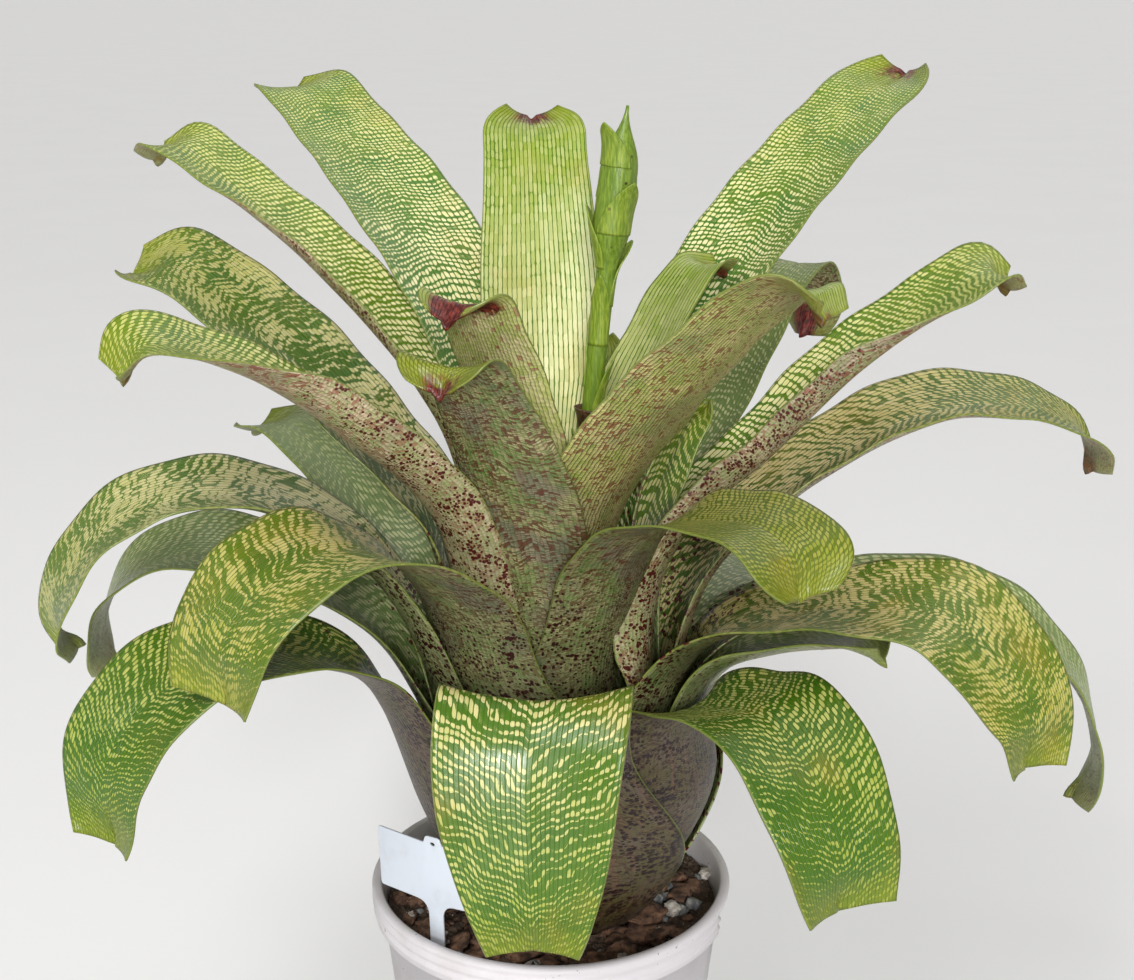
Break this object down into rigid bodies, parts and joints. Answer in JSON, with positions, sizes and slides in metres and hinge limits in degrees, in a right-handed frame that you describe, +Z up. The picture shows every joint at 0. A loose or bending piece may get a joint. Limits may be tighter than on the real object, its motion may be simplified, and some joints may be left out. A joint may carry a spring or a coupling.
{
  "type": "potted bromeliad",
  "caption": "Tank bromeliad with broad arching netted leaves round a young flower spike, rooted in bark soil in a round nursery pot with a plant label.",
  "frame": {"origin": "centre of the pot's flat foot, on the surface that the pot stands on", "axes": "+Z up, -Y towards the front as in the picture, +X to the right as seen from the front"},
  "size_m": [0.5802, 0.4333, 0.6074],
  "materials": {
    "pot_plastic": "satin white moulded plastic",
    "soil": "rough dark bark mix with pale stones",
    "label_plastic": "smooth white plastic",
    "stem": "rough and fibrous",
    "spike": "smooth and waxy green",
    "leaf": "glossy leaf with a dark green net on pale yellow-green"
  },
  "bodies": {
    "root": {"pot": "pot_plastic", "soil": "soil", "label": "label_plastic", "stem": "stem", "flower_spike": "spike", "leaf_01": "leaf", "leaf_02": "leaf", "leaf_03": "leaf", "leaf_04": "leaf", "leaf_05": "leaf", "leaf_06": "leaf", "leaf_07": "leaf", "leaf_08": "leaf", "leaf_09": "leaf", "leaf_10": "leaf", "leaf_11": "leaf", "leaf_12": "leaf", "leaf_13": "leaf", "leaf_14": "leaf", "leaf_15": "leaf", "leaf_16": "leaf", "leaf_17": "leaf", "leaf_18": "leaf", "leaf_19": "leaf", "leaf_20": "leaf", "leaf_21": "leaf", "leaf_22": "leaf", "leaf_23": "leaf", "leaf_24": "leaf", "leaf_25": "leaf", "leaf_26": "leaf", "leaf_27": "leaf", "leaf_28": "leaf", "leaf_29": "leaf", "leaf_30": "leaf"}
  },
  "joints": []
}
